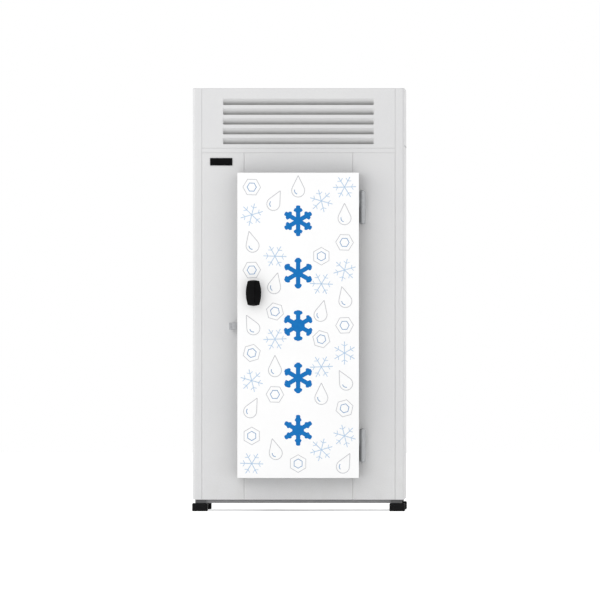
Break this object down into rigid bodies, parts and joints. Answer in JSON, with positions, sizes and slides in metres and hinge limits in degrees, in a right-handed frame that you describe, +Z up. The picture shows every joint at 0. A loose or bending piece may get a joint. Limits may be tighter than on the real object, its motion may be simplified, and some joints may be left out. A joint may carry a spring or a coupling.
{
  "type": "ice merchandiser freezer",
  "caption": "Upright insulated ice merchandiser with a hinged door, a locking grip, an evaporator under the ceiling and a cooling unit behind a louvred hood on top.",
  "frame": {"origin": "centre of the bounding box's bottom face, on the floor between the four feet, with the door shut", "axes": "+X to the right as seen by a person who faces the door, +Y to the back, +Z up; the door's front faces -Y"},
  "size_m": [1.107, 1.0088, 2.2],
  "materials": {
    "white_paint": "satin",
    "hood_paint": "satin",
    "door_film": "satin",
    "black_plastic": "satin",
    "base_steel": "matte",
    "zinc": "satin",
    "stainless": "satin",
    "aluminium_fins": "satin",
    "galvanised": "matte",
    "copper": "satin",
    "black_enamel": "gloss",
    "foam": "matte",
    "liner_plastic": "satin",
    "gasket": "matte",
    "lens": "satin"
  },
  "bodies": {
    "cabinet": {"base_frame": "base_steel", "foot_front_left": "black_plastic", "foot_front_right": "black_plastic", "foot_rear_left": "black_plastic", "foot_rear_right": "black_plastic", "front_post_left": "white_paint", "front_post_right": "white_paint", "rear_post_left": "white_paint", "rear_post_right": "white_paint", "front_panel_left": "white_paint", "front_panel_right": "white_paint", "side_panel_left": "white_paint", "side_panel_right": "white_paint", "rear_panel": "white_paint", "door_frame_panel": "white_paint", "door_sill": "stainless", "floor_panel": "white_paint", "ceiling_panel": "white_paint", "machine_deck": "hood_paint", "grille_panel": "hood_paint", "hood_rear_panel": "hood_paint", "hood_side_left": "hood_paint", "hood_side_right": "hood_paint", "top_cover": "hood_paint", "badge_plate": "black_plastic", "condenser_coil": "aluminium_fins", "condenser_shroud": "galvanised", "condenser_fan_motor": "black_enamel", "compressor": "black_enamel", "liquid_receiver": "black_enamel", "control_box": "galvanised", "discharge_pipe": "copper", "liquid_pipe": "copper", "suction_pipe": "copper", "evaporator_case": "white_paint", "evaporator_coil": "aluminium_fins", "evaporator_fan_left_motor": "black_enamel", "evaporator_fan_right_motor": "black_enamel", "drip_tray": "stainless", "drain_pipe": "liner_plastic", "interior_light": "lens", "floor_rack": "galvanised", "hinge_lower_frame": "zinc", "hinge_upper_frame": "zinc", "lock_keeper": "zinc"},
    "door": {"door_skin": "door_film", "door_foam": "foam", "door_liner": "liner_plastic", "door_gasket": "gasket", "handle_rosette": "black_plastic", "lock_case": "zinc", "hinge_lower_leaf": "zinc", "hinge_upper_leaf": "zinc"},
    "handle": {"handle_grip": "black_plastic"},
    "latch_rod": {"latch_rod": "zinc"},
    "lock_bolt": {"lock_bolt": "zinc"},
    "condenser_fan": {"condenser_fan_rotor": "aluminium_fins"},
    "evaporator_fan_left": {"evaporator_fan_left_rotor": "aluminium_fins"},
    "evaporator_fan_right": {"evaporator_fan_right_rotor": "aluminium_fins"}
  },
  "joints": [
    {"name": "door_swing", "type": "hinge", "parent": "cabinet", "child": "door", "pos_m": [0.333, -0.3941, 0.9625], "axis": [0, 0, 1], "range_deg": [0, 110]},
    {"name": "handle_turn", "type": "hinge", "parent": "door", "child": "handle", "pos_m": [-0.231, -0.4491, 1.135], "axis": [0, -1, 0], "range_deg": [0, 90]},
    {"name": "latch_rod_lift", "type": "slide", "parent": "door", "child": "latch_rod", "axis": [0, 0, -1], "range_m": [0, 0.016]},
    {"name": "lock_bolt_throw", "type": "slide", "parent": "door", "child": "lock_bolt", "axis": [-1, 0, 0], "range_m": [0, 0.016]},
    {"name": "condenser_fan_spin", "type": "hinge", "parent": "cabinet", "child": "condenser_fan", "pos_m": [-0.19, -0.1981, 2.014], "axis": [0, 1, 0], "continuous": true},
    {"name": "evaporator_fan_left_spin", "type": "hinge", "parent": "cabinet", "child": "evaporator_fan_left", "pos_m": [-0.15, 0.0915, 1.6987], "axis": [0, 1, 0], "continuous": true},
    {"name": "evaporator_fan_right_spin", "type": "hinge", "parent": "cabinet", "child": "evaporator_fan_right", "pos_m": [0.15, 0.0915, 1.6987], "axis": [0, 1, 0], "continuous": true}
  ],
  "couplings": [
    {"joint": "latch_rod_lift", "follows": "handle_turn", "m_per_rad": 0.010185},
    {"joint": "lock_bolt_throw", "follows": "handle_turn", "m_per_rad": 0.010185}
  ]
}
